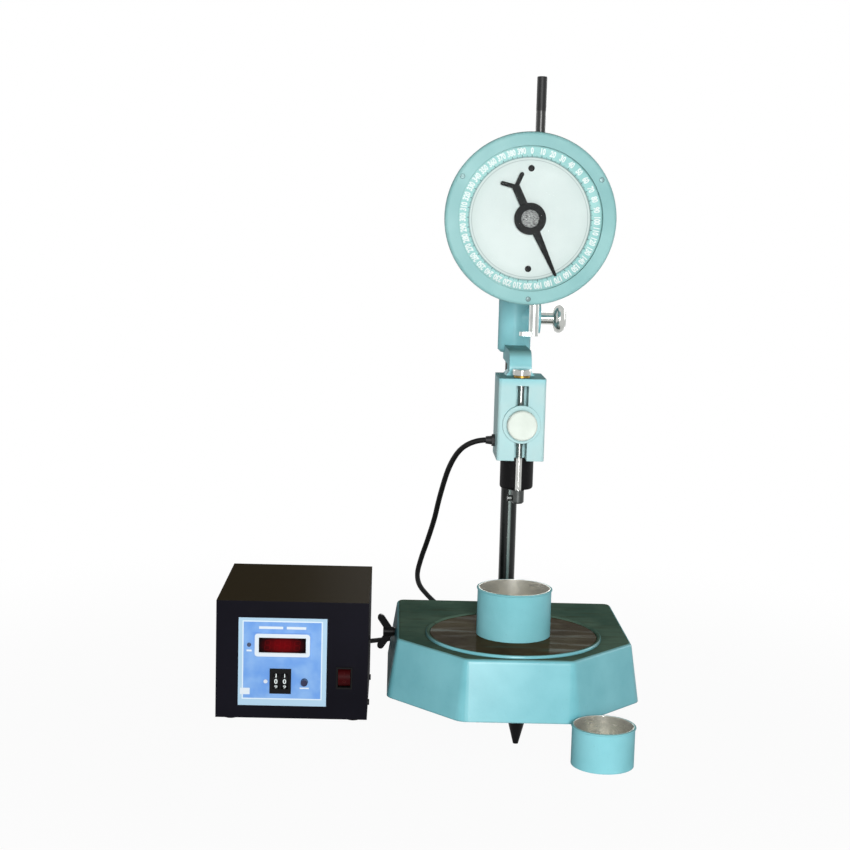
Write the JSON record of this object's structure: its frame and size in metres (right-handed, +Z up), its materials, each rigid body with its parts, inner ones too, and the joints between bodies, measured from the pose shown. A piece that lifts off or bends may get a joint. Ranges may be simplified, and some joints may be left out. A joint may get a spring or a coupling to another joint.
{
  "type": "bitumen penetrometer",
  "caption": "Bench penetrometer for bitumen: dial head with rack and pointer on a pillar, clutch-held plunger, levelled cast base, sample cups and a timer box on a lead.",
  "frame": {"origin": "bench level, at the middle of the whole set without the lead", "axes": "+X to the right, +Y to the back and +Z up, seen from the dial side"},
  "size_m": [0.4174, 0.4667, 0.631],
  "materials": {
    "turquoise_paint": "glossy hammered enamel",
    "stage_steel": "polished",
    "black_steel": "semi-gloss black",
    "pillar_steel": "polished",
    "chrome": "bright",
    "bright_steel": "satin",
    "chuck_steel": "satin",
    "brass": "satin",
    "button_metal": "satin",
    "solenoid_black": "satin",
    "copper_winding": "enamelled wire",
    "black_plastic": "semi-gloss",
    "dial_white": "matt",
    "scale_paint": "satin",
    "pointer_black": "matt",
    "clear_glass": "clear",
    "cup_paint": "glossy",
    "box_paint": "fine texture",
    "panel_blue": "satin",
    "window_red": "glossy",
    "lamp_plastic": "glossy",
    "start_plastic": "glossy",
    "rocker_red": "glossy",
    "board_green": "solder mask",
    "transformer_iron": "varnished",
    "black_rubber": "matt"
  },
  "bodies": {
    "stand": {"base_casting": "turquoise_paint", "stage_plate": "stage_steel", "pillar": "pillar_steel", "pillar_nut": "pillar_steel", "box_chassis": "box_paint", "box_cover": "box_paint", "box_screws": "box_paint", "box_feet": "black_rubber", "panel_plate": "panel_blue", "display_window": "window_red", "display_board": "board_green", "wheel_housing": "black_plastic", "panel_lamps": "lamp_plastic", "switch_case": "black_plastic", "main_board": "board_green", "transformer": "transformer_iron", "mains_inlet": "black_plastic", "lead_socket": "bright_steel", "lead_plug": "black_rubber", "lead_cord": "black_rubber"},
    "front_foot": {"level_screw_front": "black_steel"},
    "left_foot": {"level_screw_left": "black_steel"},
    "right_foot": {"level_screw_right": "black_steel"},
    "wing": {"wing_screw": "black_steel"},
    "head": {"head_casting": "turquoise_paint", "plunger_guides": "brass", "button_collar": "turquoise_paint", "stem_spring": "bright_steel", "solenoid_case": "solenoid_black", "solenoid_coil": "copper_winding", "cable_gland": "black_plastic", "dial_housing": "turquoise_paint", "housing_screws": "bright_steel", "dial_plate": "dial_white", "dial_screws": "black_steel", "scale_ring": "scale_paint", "dial_bezel": "turquoise_paint", "bezel_screws": "black_steel", "dial_glass": "clear_glass", "arbor_bushes": "brass", "rack_guides": "brass"},
    "clamp": {"clamp_knob": "chrome"},
    "plunger": {"plunger_rod": "chrome", "plunger_cap": "chrome", "needle_chuck": "chuck_steel", "chuck_screw": "chuck_steel"},
    "release": {"release_button": "button_metal", "release_stem": "bright_steel"},
    "armature": {"solenoid_armature": "chuck_steel"},
    "rack": {"rack_rod": "bright_steel", "rack_knob": "black_plastic"},
    "indicator": {"pinion": "brass", "pointer": "pointer_black", "pointer_screw": "bright_steel"},
    "cup_on_stage": {"large_cup": "cup_paint"},
    "cup_on_bench": {"small_cup": "cup_paint"},
    "start": {"start_button": "start_plastic"},
    "tens": {"tens_wheel": "black_plastic"},
    "units": {"units_wheel": "black_plastic"},
    "rocker": {"power_rocker": "rocker_red"}
  },
  "joints": [
    {"name": "head_slide", "type": "slide", "parent": "stand", "child": "head", "axis": [0, 0, 1], "range_m": [-0.06, 0.06], "deforming": ["lead_cord"]},
    {"name": "clamp_turn", "type": "hinge", "parent": "head", "child": "clamp", "pos_m": [0.12475, 0.11695, 0.3955], "axis": [1, 0, 0], "range_deg": [-180, 180]},
    {"name": "plunger_lift", "type": "slide", "parent": "head", "child": "plunger", "axis": [0, 0, 1], "range_m": [0, 0.03]},
    {"name": "button_press", "type": "slide", "parent": "head", "child": "release", "axis": [0, 1, 0], "range_m": [0, 0.002], "stiffness_N_per_m": 2000},
    {"name": "armature_pull", "type": "slide", "parent": "head", "child": "armature", "axis": [0, 0, -1], "range_m": [0, 0.002]},
    {"name": "rack_slide", "type": "slide", "parent": "head", "child": "rack", "axis": [0, 0, 1], "range_m": [-0.032, 0.008]},
    {"name": "pointer_turn", "type": "hinge", "parent": "head", "child": "indicator", "pos_m": [0.08475, 0.00195, 0.4965], "axis": [0, -1, 0], "range_deg": [-288.01, 72.01]},
    {"name": "front_level_turn", "type": "hinge", "parent": "stand", "child": "front_foot", "pos_m": [0.08475, -0.07005, 0.03], "axis": [0, 0, 1], "continuous": true},
    {"name": "left_level_turn", "type": "hinge", "parent": "stand", "child": "left_foot", "pos_m": [-0.00325, 0.11795, 0.03], "axis": [0, 0, 1], "continuous": true},
    {"name": "right_level_turn", "type": "hinge", "parent": "stand", "child": "right_foot", "pos_m": [0.17275, 0.11795, 0.03], "axis": [0, 0, 1], "continuous": true},
    {"name": "wing_turn", "type": "hinge", "parent": "stand", "child": "wing", "pos_m": [-0.03525, 0.05995, 0.0725], "axis": [1, 0, 0], "continuous": true},
    {"name": "large_cup_lift", "type": "slide", "parent": "stand", "child": "cup_on_stage", "axis": [0, 0, 1], "range_m": [0, 0.06]},
    {"name": "small_cup_lift", "type": "slide", "parent": "stand", "child": "cup_on_bench", "axis": [0, 0, 1], "range_m": [0, 0.1]},
    {"name": "start_press", "type": "slide", "parent": "stand", "child": "start", "axis": [0, 1, 0], "range_m": [0, 0.0015], "stiffness_N_per_m": 800},
    {"name": "tens_turn", "type": "hinge", "parent": "stand", "child": "tens", "pos_m": [-0.14795, -0.01215, 0.041], "axis": [1, 0, 0], "continuous": true},
    {"name": "units_turn", "type": "hinge", "parent": "stand", "child": "units", "pos_m": [-0.13955, -0.01215, 0.041], "axis": [1, 0, 0], "continuous": true},
    {"name": "rocker_tip", "type": "hinge", "parent": "stand", "child": "rocker", "pos_m": [-0.08125, -0.01355, 0.045], "axis": [-1, 0, 0], "range_deg": [0, 20]}
  ],
  "couplings": [
    {"joint": "armature_pull", "follows": "button_press", "ratio": 1},
    {"joint": "pointer_turn", "follows": "rack_slide", "rad_per_m": 157.08}
  ]
}
